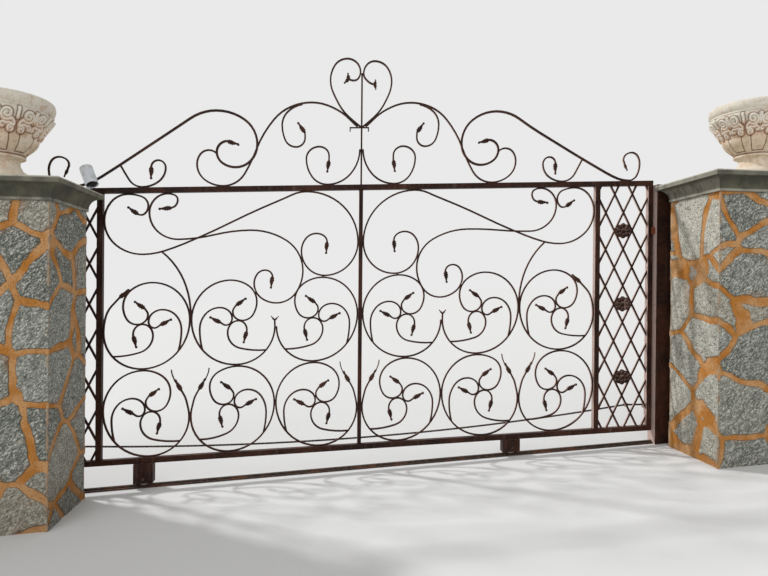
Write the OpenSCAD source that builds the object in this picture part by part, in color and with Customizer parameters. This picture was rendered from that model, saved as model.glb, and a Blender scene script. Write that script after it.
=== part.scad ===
// Sliding driveway gate of wrought iron between two stone piers, in millimetres.
// X runs along the gate to the catch post, Y runs from the street into the yard, Z is up.
// The gate is drawn first with its centre bar at x = 0 and its bottom rail's centre-line
// through the origin, and the whole is then moved so that the origin is the centre of the
// underside of the right pier.

/* [Frame] */
// Height from the centre-line of the bottom rail to that of the top rail
rail_gap = 1900; // [1600:10:2200]
// Centre bar to the inner stile, the width of one scrolled bay
bay_w = 1820; // [1500:10:2100]
// Inner stile to end stile, the width of a lattice panel
lattice_w = 430; // [330:5:600]
// Side of the square tube that the frame is welded from
tube = 38; // [30:1:50]
// Side of the centre bar below the top rail
centre_tube = 28; // [20:1:36]
// Rise of the rails for each millimetre along the gate
rake = 0.042; // [0:0.001:0.08]

/* [Scrolls] */
// Width of a scroll bar, seen from the front
bar = 12; // [8:0.5:16]
// Depth of a scroll bar, front to back
bar_depth = 12; // [8:0.5:16]
// Width of the heavy crest bar that runs down to each end
crest_bar = 16; // [10:0.5:20]
// Height of one row of rings
ring_h = 618; // [560:1:680]
// Length of a forged leaf
leaf_len = 84; // [50:1:110]
// Height of the heart's tip above the top rail
heart_tip = 438; // [380:1:480]
// Height of the heart from its tip to the top of its lobes
heart_h = 511; // [420:1:560]
// Width of the heart
heart_w = 461; // [360:1:520]
// Width of the cross bracket under the heart's tip
clamp_w = 142; // [90:2:180]
// How far the bracket's two drops hang below it
clamp_drop = 24; // [12:2:50]
// Thickness of the bracket
clamp_t = 8; // [5:0.5:12]
// Reach of the small weld that closes the corner where two bars meet
weld = 1.6; // [0.5:0.1:3]
// Largest distance between a curve and the straight steps that follow it
curve_step = 0.7; // [0.4:0.1:2]

/* [Lattice] */
// Width of one diamond of the lattice
diamond_w = 143; // [100:1:190]
// Height of one diamond of the lattice
diamond_h = 283; // [200:1:340]
// Height of the lowest crossing in the middle of the lattice above the bottom rail
lattice_start = 263; // [100:1:300]
// Width of a lattice bar
lattice_bar = 14; // [8:0.5:20]
// Thickness of a lattice bar
lattice_t = 12; // [6:0.5:16]
// Width across a cast rosette
rosette_w = 128; // [90:1:150]

/* [Wheels] */
// Left inner stile to the left wheel
left_wheel_in = 305; // [100:5:700]
// Right inner stile to the right wheel
right_wheel_in = 673; // [100:1:900]
// Radius at the bottom of the wheel's groove
groove_r = 38; // [32:1:42]
// Depth of the wheel's groove
groove_depth = 9; // [6:0.5:12]
// Width of the wheel
wheel_w = 26; // [20:1:34]
// Radius of the axle bolt
axle_r = 8; // [6:0.5:10]
// Thickness of the bolt's head
bolt_head = 8; // [5:0.5:12]
// Length of the nut and the thread behind it
bolt_nut = 12; // [8:0.5:20]
// Gap between the wheel and the sleeve on each side of it
side_gap = 0.5; // [0.2:0.1:1.5]
// Radial clearance of the wheel on its axle
axle_clearance = 0.06; // [0.02:0.01:0.1]
// Length of a wheel box along the gate
box_len = 132; // [124:1:170]
// Depth of a wheel box, front to back
box_depth = 66; // [56:1:80]
// Plate thickness of a wheel box
box_plate = 5; // [3:0.5:8]
// Gap between a wheel box and the crown of the track
box_lift = 9; // [5:0.5:14]

/* [Track] */
// Centre-line of the bottom rail to the crown of the track, below the centre bar
track_drop = 138; // [125:1:170]
// Rise of the track for each millimetre along it
track_slope = 0.06; // [0:0.001:0.08]
// How far the gate slides to open
travel = 4100; // [1000:10:4300]
// Track beyond the outermost wheel places
track_spare = 150; // [60:10:400]
// Height of the angle bar, from the flat strip to its crown
track_bar_h = 16; // [12:1:24]
// Depth of the whole track, from its crown to its underside
track_depth = 24; // [20:1:40]
// Gap between a wheel's groove and the track
rolling_gap = 0.4; // [0.2:0.1:0.6]

/* [Catch post] */
// Width of the catch post along the gate
post_w = 125; // [80:5:160]
// Depth of the catch post, front to back
post_d = 100; // [70:2:140]
// Gap between the closed gate and the catch post
post_gap = 14; // [14:1:40]
// Top of the catch post below the top of the top rail
post_below = 35; // [0:5:80]
// Middle of the keeper below the top rail
keeper_below = 370; // [200:10:600]
// Height of the keeper
keeper_h = 48; // [40:1:80]
// How far the keeper's arms reach past the end of the gate
keeper_reach = 19; // [10:1:30]
// Gap between the end stile and each arm of the keeper
keeper_gap = 6; // [6:1:20]
// Plate thickness of the keeper
keeper_plate = 5; // [4:0.5:8]

/* [Piers] */
// Width of a pier along the gate
pier_w = 920; // [800:10:1200]
// Depth of a pier, front to back
pier_d = 540; // [450:10:700]
// Middle of the gate to the back of the piers
pier_back = 130; // [110:1:160]
// How far the closed gate reaches behind the left pier
left_pier_lap = 407; // [280:1:420]
// End of the closed gate to the inner face of the right pier
right_pier_in = 74; // [40:1:130]
// Top of the right pier below the top rail's centre-line
right_pier_below = 68; // [0:1:200]
// Top of the left pier below the top rail's centre-line
left_pier_below = 240; // [0:5:300]
// Height of a cap
cap_h = 130; // [100:5:180]
// How far a cap's lowest band stands out over its pier
cap_foot_out = 8; // [4:1:20]
// Height of a cap's lowest band
cap_foot_h = 14; // [8:1:30]
// Height of a cap's lip
cap_lip_h = 36; // [20:1:60]
// Overhang of the lip beyond the cove
cap_lip_out = 8; // [3:1:20]
// Bevel along the top of the lip
cap_bevel = 5; // [2:1:10]

/* [Urns] */
// Inner face of the left pier to the middle of its urn
left_urn_in = 400; // [380:10:480]
// Inner face of the right pier to the middle of its urn
right_urn_in = 460; // [380:10:480]
// Height of an urn
urn_h = 522; // [500:1:560]
// Radius of an urn's belly and of its rim
urn_r = 290; // [270:1:330]
// Radius of an urn's foot
urn_foot_r = 160; // [140:2:180]
// Radius of the neck between the foot and the bowl
urn_neck_r = 97; // [80:1:110]
// Height of the neck above the foot's underside
urn_neck_z = 125; // [110:1:140]
// Radius of the ledge from which the bowl springs
urn_bowl_r = 128; // [120:1:150]
// Height from the neck to where the bowl springs
urn_spring = 50; // [44:1:60]
// Thickness of the ledge under the bowl
urn_ledge = 16; // [10:1:20]
// Radius at the top of the bowl's round lower part
urn_cup_r = 209; // [180:1:230]
// Height of the top of the bowl's round lower part
urn_cup_z = 281; // [260:1:300]
// Height at which the bowl is widest
urn_belly_z = 415; // [390:1:430]
// Radius of the waist between the bowl and the rim
urn_waist_r = 278; // [250:1:284]
// Height of the rim
urn_rim_h = 64; // [50:1:68]
// Wall thickness of an urn
urn_wall = 34; // [20:1:50]

/* [Camera] */
// Length of the camera housing on the left cap
housing_len = 140; // [100:5:180]
// Radius of the camera housing
housing_r = 42; // [30:1:55]
// Height of the camera housing's middle above the cap
housing_up = 114; // [100:1:140]
// Distance of the camera housing from the cap's inner edge
housing_in = 76; // [60:1:200]
// Distance of the camera housing from the cap's back edge
housing_fore = 60; // [50:5:200]
// Radius of the pin that carries the housing
pin_r = 8; // [5:0.5:12]
// Radius of the plate under the pin
pin_plate_r = 24; // [16:1:34]
// Wall thickness of the housing
housing_wall = 5; // [3:0.5:8]
// How deep the glass lies in the end of the housing
glass_in = 10; // [4:1:20]

/* [Chain] */
// Height of the drive chain
chain_h = 12; // [8:0.5:16]
// Width of the drive chain
chain_w = 10; // [6:0.5:14]
// Distance from the middle of the gate to the middle of the chain
chain_y = 40; // [30:1:60]
// Height of the chain's right end above the bottom rail
chain_right_z = 178; // [120:2:300]
// Height of the chain's left end above the bottom rail
chain_left_z = 135; // [80:5:300]
// How far the chain sags below the straight line between its ends
chain_sag = 106; // [20:2:160]
// Length of the tension bolt, from the right end stile to the chain
bolt_len = 151; // [80:1:250]
// Radius of the tension bolt
bolt_r = 7; // [4:0.5:10]
// Side of the block that joins the bolt to the chain
bolt_block = 24; // [16:1:34]
// Height of an arm behind an end stile
arm_h = 50; // [30:1:80]

/* [Hidden] */

half_gate = bay_w + lattice_w;
gate_end = half_gate + tube/2;
bay_left = -bay_w + tube/2;
bay_right = -centre_tube/2;
bay_bottom = tube/2;
bay_top = rail_gap - tube/2;
row_line = bay_bottom + ring_h;
ring_w = (bay_right - bay_left)/3;
// How far a bar laps onto the one that it is welded to
lap = 0.5;
// Free play round the axle bolt in its box
box_play = 0.1;
rings_top = bay_bottom + 2*ring_h;
left_wheel_x = left_wheel_in - bay_w;
right_wheel_x = bay_w - right_wheel_in;
track_angle = atan(track_slope);
track_x0 = left_wheel_x - travel - track_spare;
post_x = gate_end + post_gap;
track_x1 = post_x;
left_pier_x = gate_end - left_pier_lap;
right_pier_x = gate_end + right_pier_in;
left_pier_top = rail_gap - left_pier_below;
right_pier_top = rail_gap - right_pier_below;
// A cap reaches back to where the catch post begins
cap_out = pier_back - post_d/2;
chain_x0 = -gate_end + tube;
chain_end_x = gate_end - tube - bolt_len;
pier_y0 = -pier_back - pier_d;
housing_aim = [0.42, -0.33, -0.85];
ground_z = track_z(track_x0) - track_depth;
origin = [right_pier_x + pier_w/2, -pier_back - pier_d/2, ground_z];
white_shell = [0.86, 0.87, 0.88];
iron = [0.20, 0.13, 0.11];
stone = [0.55, 0.51, 0.42];
concrete = [0.55, 0.54, 0.51];
cast_stone = [0.83, 0.80, 0.72];
steel = [0.35, 0.33, 0.31];
rust = [0.45, 0.25, 0.13];

// The stations of the bars are given for rings, sweeps, a crest and a heart of these sizes,
// and they move in proportion with the real ones
ring_scale = [ring_w/595.667, ring_h/618];
sweep_scale = [bay_w/1820, (bay_top - rings_top)/626];
crest_scale = [half_gate/2250, heart_tip/438];
heart_scale = [heart_w/461, heart_h/511];
leaf_given = 84;

// Height of the rails' rake and of the crown of the track at a place along the gate
function raked(x) = rake*x;
function track_z(x) = track_slope*x - track_drop;

// Curves: a bar's path is a list of stations [x, z, heading], joined by pairs of arcs
function unit(a) = [cos(a), sin(a)];
function side(a) = [-sin(a), cos(a)];
function spot(s) = [s[0], s[1]];
function cross2(a, b) = a.x*b.y - a.y*b.x;

function arc_turn(p, a, q) = 2*atan2(cross2(unit(a), q - p), unit(a)*(q - p));

function arc_from(p, a, q) =
    let (turn = arc_turn(p, a, q))
    abs(turn) < 0.3 ? [[p.x, p.y, a]] :
    let (
        radius = norm(q - p)/(2*sin(turn/2)),
        biggest = 2*acos(1 - min(0.5, curve_step/abs(radius))),
        steps = ceil(abs(turn)/biggest)
    )
    [for (i = [0 : steps - 1])
        let (b = a + turn*i/steps)
        [p.x + radius*(sin(b) - sin(a)), p.y - radius*(cos(b) - cos(a)), b]];

function between(s, t) =
    let (
        p = spot(s), q = spot(t),
        v = q - p,
        along = v*(unit(s[2]) + unit(t[2])),
        e = 2*(1 - unit(s[2])*unit(t[2])),
        d = e < 0.0001 ? v*v/(2*along) : (sqrt(along*along + e*(v*v)) - along)/e,
        mid = (p + q + d*(unit(s[2]) - unit(t[2])))/2,
        a_mid = s[2] + arc_turn(p, s[2], mid)
    )
    concat(arc_from(p, s[2], mid), arc_from(mid, a_mid, q));

function path(stations) =
    concat([for (i = [0 : len(stations) - 2]) each between(stations[i], stations[i + 1])],
           [stations[len(stations) - 1]]);

// Moves a station in proportion
function scaled(s, k) = [s[0]*k.x, s[1]*k.y, atan2(k.y*sin(s[2]), k.x*cos(s[2]))];

// One bent bar, drawn flat along its stations
module bent_bar(stations, k = [1, 1], w = bar) {
    line = path([for (s = stations) scaled(s, k)]);
    n = len(line);
    polygon(concat(
        [for (i = [0 : n - 1]) spot(line[i]) + w/2*side(line[i][2])],
        [for (i = [n - 1 : -1 : 0]) spot(line[i]) - w/2*side(line[i][2])]));
}

// One forged leaf at the end of a bar, with cut edges, lobed more on one side, and a ball at its tip
module leaf(s, k = [1, 1], lobe = 1, size = 1) {
    place = scaled(s, k);
    grow = size*leaf_len/leaf_given;
    translate(spot(place)) rotate(place[2]) scale([grow, lobe*grow]) {
        polygon([[-2, -6], [8, -8], [18, -12], [28, -10], [36, -11], [46, -7], [56, -6], [66, -2],
                 [78, -3], [84, 4], [72, 5], [64, 10], [56, 8], [50, 15], [42, 10], [36, 15],
                 [26, 10], [20, 13], [10, 8], [-2, 6]]);
        translate([81, 4]) circle(r = 7, $fn = 8);
    }
}

// The unit that fills each ring: its own spiral bar, two inner curls and their leaves.
// It is drawn turning clockwise in a ring that is centred at the origin.
module ring(tail, lift = 0) {
    k = ring_scale;
    w = (ring_w/2 - bar/2 + lap)/k.x;
    h = (ring_h/2 - bar/2 + lap)/k.y;
    spiral = [[w, -40, -90], [26, -h, 180], [-w, 30, 90], [-28, h, 0], [163, 142 + lift, -90],
              [65, 11 + lift, 180], [-6, 76 + lift, 90], [18, 124 + lift, 54]];
    curl_a = [[-216, -184, 105], [-235, -37, 90], [-100, 110 + lift, 0], [-10, 29 + lift, -90],
              [-51, -18 + lift, 180], [-92, 3 + lift, 145]];
    curl_b = [[226, -208, 182], [-41, -71 + lift, 90], [32, 11 + lift, 0], [94, -55 + lift, -90],
              [93, -72 + lift, -97]];
    bent_bar(spiral, k);
    leaf([17, 122 + lift, 38], k, -1);
    bent_bar(curl_a, k);
    leaf([-90, 2 + lift, 150], k, 1);
    bent_bar(curl_b, k);
    leaf([93, -68 + lift, -102], k, -1);
    if (tail == "tendril") {
        bent_bar([[w, -40, 90], [272, 76, 104], [232, 160, 117], [190, 226, 119]], k);
        bent_bar([[192, 223, 119], [168, 300, 92]], k, bar*0.6);
        leaf([237, 150, 117], k, 1);
    }
    if (tail == "long tendril") {
        bent_bar([[w, -40, 90], [w - 16, 80, 106], [187, 204, 134], [130, 258, 138]], k);
        leaf([187, 204, 136], k, 1);
    }
    if (tail == "leaves") {
        bent_bar([[w, -42, 90], [w - 2, 6, 92]], k);
        leaf([w - 2, 4, 128], k, 1, 0.45);
        leaf([w - 2, 4, 48], k, -1, 0.45);
    }
}

// Places of the rings of a bay, from the stile to the centre bar
function ring_x(i) = bay_left + ring_w*(i + 0.5);
function ring_z(row) = bay_bottom + ring_h*(row + 0.5);

module place_ring(i, row, turned, tail, lift = 0) {
    translate([ring_x(i), ring_z(row)]) mirror([turned ? 1 : 0, 0]) ring(tail, lift);
}

module lower_rings() {
    place_ring(0, 0, false, "tendril");
    place_ring(1, 0, true, "tendril", 22);
    place_ring(2, 0, false, "tendril");
}

module upper_rings() {
    place_ring(0, 1, true, "long tendril");
    place_ring(1, 1, false, "leaves");
    place_ring(2, 1, true, "none");
}

// The long bars between the rings and the top rail, in heights above the rings. The right bay's
// lower sweep dips more than the left one's.
module sweeps(dip) {
    k = sweep_scale;
    top = (bay_top - rings_top - bar/2 + lap)/k.y;
    left = (bay_left + bar/2 - lap)/k.x;
    right = (bay_right - bar/2 + lap)/k.x;
    translate([0, rings_top]) {
        bent_bar([[-1571, 480, -38], [-1500, 535, 90], [-1640, top, 180], [left, 440, -90],
                  [-1530, 195, 0], [-1250, 265, 22], [-600, 555, 22], [-400, top, 0],
                  [right, 245, -90], [-255, 7, 180], [-430, 190, 90], [-325, 315, 0],
                  [-245, 250, -90]], k);
        leaf([-245, 252, -92], k, -1);
        leaf([-1569, 478, 142], k, 1);
        bent_bar([[-1345, 520, 4], [-1300, 575, 90], [-1370, top, 180], [-1493, 490, -90],
                  [-1290, 295, 0], [-800, 349 - dip, 0], [-418, 45, -90], [-600, -181, 180],
                  [-765, -35, 90], [-690, 59, 0], [-635, 10, -90]], k);
        leaf([-1343, 520, 184], k, 1);
        leaf([-635, 12, -95], k, -1);
        bent_bar([[-1407, 211, -40], [(ring_x(1) - ring_w/2)/k.x, -245, -90]], k);
    }
}

// Everything in a bay is cut to the clear opening, so each bar ends flat on the frame
module bay_area(z0, z1) {
    translate([bay_left, z0]) square([bay_right - bay_left, z1 - z0]);
}

// Closes the corners where bars meet, as their welds do
module welded() {
    offset(delta = -weld) offset(delta = weld) children();
}

// Flat work raked with the rails and given its depth
module fence_work(depth, mirrored = false) {
    rotate([90, 0, 0]) translate([0, 0, -depth/2]) linear_extrude(depth)
        multmatrix([[1, 0, 0, 0], [rake, 1, 0, 0], [0, 0, 1, 0], [0, 0, 0, 1]])
            mirror([mirrored ? 1 : 0, 0]) children();
}

module lower_scrolls(mirrored) {
    fence_work(bar_depth, mirrored) welded() intersection() {
        lower_rings();
        bay_area(bay_bottom, row_line);
    }
}

module upper_scrolls(mirrored) {
    fence_work(bar_depth, mirrored) welded() intersection() {
        union() {
            upper_rings();
            sweeps(mirrored ? 27 : 0);
        }
        bay_area(row_line, bay_top);
    }
}

// Crest: half of the scrolls on the top rail, in heights above the rail. The heavy bar differs
// a little from side to side, so its slope and where the small scroll joins it are given.
module crest_half(slope, join) {
    k = crest_scale;
    low = (bar/2 - lap)/k.y;
    rod = (lap - bar)/k.x;
    translate([0, rail_gap + tube/2]) {
        // Heavy bar from the end curl up to the big outer scroll
        bent_bar([[-2040, 130, 100], [-2031, 166, 90], [-2099, 222, 180], [-2164, 136, -90],
                  [-2075, low, 0]], k);
        leaf([-2041, 134, -116], k, 1, 0.65);
        bent_bar(concat([[-2075, low, 0]], slope,
                        [[-750, 300, -90], [-900, 138, 180], [-1034, 250, 90], [-960, 326, 0]]),
                 k, crest_bar);
        leaf([-962, 326, -14], k, -1);
        // Small scroll under the heavy bar
        bent_bar([join, [-1540, low, 0], [-1384, 139, 90], [-1436, 193, 180],
                  [-1483, 146, -92]], k);
        leaf([-1483, 148, -93], k, 1);
        // Shoulder from the heart down to the rail, which ends on the heavy bar's scroll
        bent_bar([[-29, 426, 141], [-147, 530, 146], [-365, 603, 180], [-633, 480, -129],
                  [-755, 268, -110], [-985, low, 180], [-1170, 165, 90], [-1090, 262, 0],
                  [-1034, 236, -52]], k);
        // Inner scroll of the shoulder
        bent_bar([[-430, 590, 190], [-575, 440, -90], [-474, 280, 0], [-410, 345, 90],
                  [-413, 388, 100]], k);
        leaf([-412, 386, 124], k, 1);
        // Low scroll between the shoulder and the rod
        bent_bar([[rod, 260, -90], [-245, low, 180], [-400, 195, 90], [-308, 282, 0],
                  [-236, 215, -90], [-236, 176, -90]], k);
        leaf([-236, 180, -96], k, -1);
    }
}

module crest_outline() {
    difference() {
        welded() {
            crest_half([[-1815, 81, 33], [-1380, 376, 34], [-1040, 544, 0]], [-1690, 160, -62]);
            mirror([1, 0])
                crest_half([[-1897, 64, 29], [-1360, 376, 31], [-1019, 540, 0]], [-1699, 175, -62]);
        }
        translate([-half_gate, rail_gap - tube/2]) square([2*half_gate, tube]);
        heart_outline();
    }
}

// Heart with its rod, which carries the crest down to the top rail. Each half is a side, a lobe
// and a curl that ends in a pair of leaves.
module heart_half(stations, end, spread, size) {
    k = heart_scale;
    translate([0, rail_gap + heart_tip]) {
        bent_bar(concat([[0, 0, 142]], stations), k);
        leaf([end.x, end.y, 98], k, -1, size);
        leaf([end.x, end.y, 98 + spread], k, 1, size);
    }
}

module heart_outline() {
    meet = (lap - bar)/heart_scale.x;
    tip = rail_gap + heart_tip;
    welded() {
        heart_half([[-168, 172, 119], [-230, 342, 92], [-108, 505, 0], [meet, 408, -90],
                    [-60, 345, 180], [-101, 356, 160]], [-101, 356], 126, 0.5);
        mirror([1, 0]) heart_half([[-162, 168, 119], [-219, 333, 92], [-94, 489, 0], [meet, 398, -90],
                                   [-58, 329, 212], [-97, 316, 190]], [-97, 316], 160, 0.42);
        translate([-bar/2, rail_gap + tube/2]) square([bar, heart_tip + heart_h*0.78 - tube/2]);
        // Cross bracket with two drops, under the heart's tip
        translate([-clamp_w*0.62, tip - clamp_t/2 - clamp_drop]) difference() {
            square([clamp_w, clamp_drop + clamp_t]);
            translate([clamp_t, -clamp_t]) square([clamp_w - 2*clamp_t, clamp_drop + clamp_t]);
        }
    }
}

// Lattice between the two stiles at one end
module lattice_outline() {
    cx = -(bay_w + lattice_w/2);
    clear = lattice_w - tube;
    slope = atan2(diamond_h, diamond_w);
    reach = rail_gap + diamond_h;
    rows = ceil(rail_gap/diamond_h) + 2;
    intersection() {
        for (i = [-2 : rows], lean = [-1, 1])
            translate([cx, lattice_start + diamond_h*i]) rotate(lean*slope)
                translate([-reach, -lattice_bar/2]) square([2*reach, lattice_bar]);
        translate([cx - clear/2, bay_bottom]) square([clear, bay_top - bay_bottom]);
    }
}

module rosettes() {
    cx = -(bay_w + lattice_w/2);
    for (k = [0 : 2]) translate([cx, lattice_start + diamond_h*(0.5 + 2*k)])
        for (petal = [0 : 7]) rotate(45*petal) translate([rosette_w*0.3, 0])
            circle(r = rosette_w*0.17, $fn = 8);
}

module lattice(mirrored) {
    fence_work(lattice_t, mirrored) {
        lattice_outline();
        rosettes();
    }
}

// Raked bar of square tube between two places along the gate
module raked_tube(x0, x1, z, w) {
    rotate([90, 0, 0]) translate([0, 0, -w/2]) linear_extrude(w)
        polygon([[x0, z + raked(x0) - w/2], [x1, z + raked(x1) - w/2],
                 [x1, z + raked(x1) + w/2], [x0, z + raked(x0) + w/2]]);
}

// Plumb stile that seats on the raked rails
module stile(x, w) {
    x0 = x - w/2;
    x1 = x + w/2;
    rotate([90, 0, 0]) translate([0, 0, -w/2]) linear_extrude(w)
        polygon([[x0, bay_bottom + raked(x0)], [x1, bay_bottom + raked(x1)],
                 [x1, bay_top + raked(x1)], [x0, bay_top + raked(x0)]]);
}

// Axle height above the track, and the places of the wheels
axle_up = groove_r + rolling_gap;
function axle_z(x) = track_z(x) + axle_up/cos(track_angle);

// Wheel box: two cheeks and two ends, open below, welded under the bottom rail
module wheel_box(x) {
    x0 = x - box_len/2;
    x1 = x + box_len/2;
    inner = box_depth - 2*box_plate;
    module side_view(d) {
        polygon([[x0 + d, track_z(x0) + box_lift], [x1 - d, track_z(x1) + box_lift],
                 [x1 - d, raked(x1) - tube/2 - d], [x0 + d, raked(x0) - tube/2 - d]]);
    }
    difference() {
        rotate([90, 0, 0]) translate([0, 0, -box_depth/2]) linear_extrude(box_depth) side_view(0);
        rotate([90, 0, 0]) translate([0, 0, -inner/2]) linear_extrude(inner)
            union() {
                side_view(box_plate);
                translate([0, -2*box_lift]) side_view(box_plate);
            }
        translate([x, 0, axle_z(x)]) rotate([90, 0, 0])
            cylinder(r = axle_r + box_play, h = 2*box_depth, center = true);
    }
}

// Axle bolt through both cheeks, with its head in front and nut behind
module axle(x) {
    cheek = box_depth/2 - box_plate;
    face = wheel_w/2 + side_gap;
    translate([x, 0, axle_z(x)]) rotate([90, 0, 0]) {
        cylinder(r = axle_r, h = box_depth + 2*bolt_nut, center = true);
        translate([0, 0, box_depth/2 + box_play]) cylinder(r = axle_r*1.6, h = bolt_head, $fn = 6);
        translate([0, 0, -box_depth/2 - box_play - bolt_nut])
            cylinder(r = axle_r*1.6, h = bolt_nut, $fn = 6);
        for (s = [-1, 1]) translate([0, 0, s*(face + cheek)/2])
            cylinder(r = axle_r*1.5, h = cheek - face, center = true);
    }
}

// Wheel with a V groove that runs on the crown of the track
module wheel(x) {
    rim = groove_r + groove_depth;
    half = wheel_w/2;
    translate([x, 0, axle_z(x)]) rotate([90, 0, 0]) rotate_extrude($fn = 96)
        polygon([[axle_r + axle_clearance, -half], [rim, -half], [rim, -groove_depth], [groove_r, 0],
                 [rim, groove_depth], [rim, half], [axle_r + axle_clearance, half]]);
}

// Track: an angle bar laid crown up on a flat strip, cut plumb where it meets the catch post
module track() {
    strip = track_bar_h*1.6;
    profile = [[-groove_depth, -groove_depth], [0, 0], [groove_depth, -groove_depth],
               [groove_depth, -track_bar_h], [strip, -track_bar_h], [strip, -track_depth],
               [-strip, -track_depth], [-strip, -track_bar_h], [-groove_depth, -track_bar_h]];
    multmatrix([[1, 0, 0, track_x0], [0, 1, 0, 0], [track_slope, 0, 1, track_z(track_x0)], [0, 0, 0, 1]])
        rotate([90, 0, 90]) linear_extrude(track_x1 - track_x0) polygon(profile);
}

module pier(x0, top) {
    translate([x0, pier_y0, ground_z]) cube([pier_w, pier_d, top - ground_z]);
}

// Cap: a moulded slab, with a low band, a cove and a lip, mitred at its corners
module cap_section(half) {
    lip = cap_h - cap_lip_h;
    cove = cap_out - cap_lip_out - cap_foot_out;
    right = concat([[0, 0], [cap_foot_out, 0]],
                   [for (a = [0 : 7.5 : 90])
                       [cap_foot_out + cove*(1 - cos(a)), cap_foot_h + (lip - cap_foot_h)*sin(a)]],
                   [[cap_out, lip], [cap_out, cap_h - cap_bevel], [cap_out - cap_bevel, cap_h]]);
    n = len(right);
    polygon(concat([for (p = right) [half + p.x, p.y]],
                   [for (i = [n - 1 : -1 : 0]) [-half - right[i].x, right[i].y]]));
}

module cap(x0, top) {
    w = pier_w + 2*cap_out;
    d = pier_d + 2*cap_out;
    translate([x0 + pier_w/2, pier_y0 + pier_d/2, top]) intersection() {
        rotate([90, 0, 0]) translate([0, 0, -d/2]) linear_extrude(d) cap_section(pier_w/2);
        rotate([90, 0, 90]) translate([0, 0, -w/2]) linear_extrude(w) cap_section(pier_d/2);
    }
}

// Urn: a turned foot and neck, a ledge, a bowl that is open at the top, and a rim. The bowl is
// round below and flares above that up to its belly.
function cup(t) = urn_bowl_r + (urn_cup_r - urn_bowl_r)*sin(90*t);
function flare(t) = urn_cup_r + (urn_r - urn_cup_r)*pow(t, 1.15);

module urn(x, top) {
    rim_z = urn_h - urn_rim_h;
    spring_z = urn_neck_z + urn_spring;
    cup_h = urn_cup_z - spring_z;
    flare_h = urn_belly_z - urn_cup_z;
    shoulder = (urn_foot_r + urn_neck_r)/2;
    foot = [[0, 0], [urn_foot_r, 0], [urn_foot_r, urn_neck_z*0.3], [urn_foot_r - 8, urn_neck_z*0.38],
            [shoulder + 8, urn_neck_z*0.54], [shoulder - 14, urn_neck_z*0.66],
            [urn_neck_r + 5, urn_neck_z*0.85]];
    neck = [[urn_neck_r, urn_neck_z - 6], [urn_neck_r, urn_neck_z + 8],
            [urn_neck_r + 10, spring_z - urn_ledge - 6], [urn_bowl_r, spring_z - urn_ledge],
            [urn_bowl_r, spring_z - 5], [urn_bowl_r - 4, spring_z - 1]];
    bowl = concat([for (t = [0 : 0.2 : 1]) [cup(t), spring_z + cup_h*t]],
                  [for (t = [0.2 : 0.2 : 1]) [flare(t), urn_cup_z + flare_h*t]]);
    rim = [[urn_r - 2, urn_belly_z + 18], [urn_waist_r, rim_z - 12], [urn_waist_r, rim_z - 4],
           [urn_r - 6, rim_z + 4], [urn_r + 1, rim_z + 22], [urn_r, urn_h - 16], [urn_r - 12, urn_h],
           [urn_r - urn_wall, urn_h], [urn_waist_r - urn_wall, rim_z]];
    inside = [[urn_r - urn_wall, urn_belly_z], [flare(0.5) - urn_wall, urn_cup_z + flare_h/2],
              [urn_cup_r - urn_wall, urn_cup_z], [cup(0.5) - urn_wall, spring_z + urn_wall],
              [0, spring_z + urn_wall]];
    translate([x, pier_y0 + pier_d/2, top + cap_h]) rotate_extrude($fn = 72)
        polygon(concat(foot, neck, bowl, rim, inside));
}

module catch_post_body() {
    top = rail_gap + raked(post_x) + tube/2 - post_below;
    translate([post_x, -post_d/2, ground_z]) cube([post_w, post_d, top - ground_z]);
}

// Keeper: a fork on the side of the catch post that the end stile runs into
module keeper_fork() {
    half = tube/2 + keeper_gap + keeper_plate;
    reach = post_gap + keeper_reach;
    translate([post_x, 0, rail_gap - keeper_below + raked(gate_end) - keeper_h/2]) linear_extrude(keeper_h)
        difference() {
            translate([-reach, -half]) square([reach, 2*half]);
            translate([-reach - 1, keeper_plate - half])
                square([reach + 1 - keeper_plate, 2*half - 2*keeper_plate]);
        }
}

// Camera housing that looks down along the gate, on a pin at the inner corner of the left cap
module housing() {
    foot = [-left_pier_x + cap_out - housing_in, -pier_back + cap_out - housing_fore,
            left_pier_top + cap_h];
    lean = acos(housing_aim.z/norm(housing_aim));
    swing = atan2(housing_aim.y, housing_aim.x);
    translate(foot) {
        cylinder(r = pin_plate_r, h = pin_r);
        cylinder(r = pin_r, h = housing_up);
        translate([0, 0, housing_up]) rotate([0, lean, swing]) difference() {
            cylinder(r = housing_r, h = housing_len, center = true);
            translate([0, 0, housing_len/2 - glass_in])
                cylinder(r = housing_r - housing_wall, h = 2*glass_in);
        }
    }
}

// Height of the chain's middle line: a shallow sag between its two ends
function chain_z(x) =
    let (t = (x - chain_x0)/(chain_end_x - chain_x0))
    raked(x) + chain_left_z + (chain_right_z - chain_left_z)*t - 4*chain_sag*t*(1 - t);

module chain() {
    steps = 24;
    xs = [for (i = [0 : steps]) chain_x0 + (chain_end_x - chain_x0)*i/steps];
    translate([0, chain_y, 0]) rotate([90, 0, 0]) translate([0, 0, -chain_w/2]) linear_extrude(chain_w)
        polygon(concat([for (x = xs) [x, chain_z(x) - chain_h/2]],
                       [for (i = [steps : -1 : 0]) [xs[i], chain_z(xs[i]) + chain_h/2]]));
}

// Arms behind the end stiles: the chain starts at the left one, and a bolt from the right one
// pulls it tight
module chain_arm(x, z) {
    translate([x, tube/2, z - arm_h/2]) cube([tube, chain_y - tube/2 + bolt_block/2, arm_h]);
}

module brackets() {
    z0 = chain_z(chain_x0);
    z1 = chain_z(chain_end_x);
    chain_arm(-gate_end, z0);
    chain_arm(gate_end - tube, z1);
    translate([chain_end_x, chain_y, z1]) {
        rotate([0, 90, 0]) cylinder(r = bolt_r, h = bolt_len);
        translate([0, -bolt_block/2, -bolt_block/2]) cube(bolt_block);
    }
}

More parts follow.
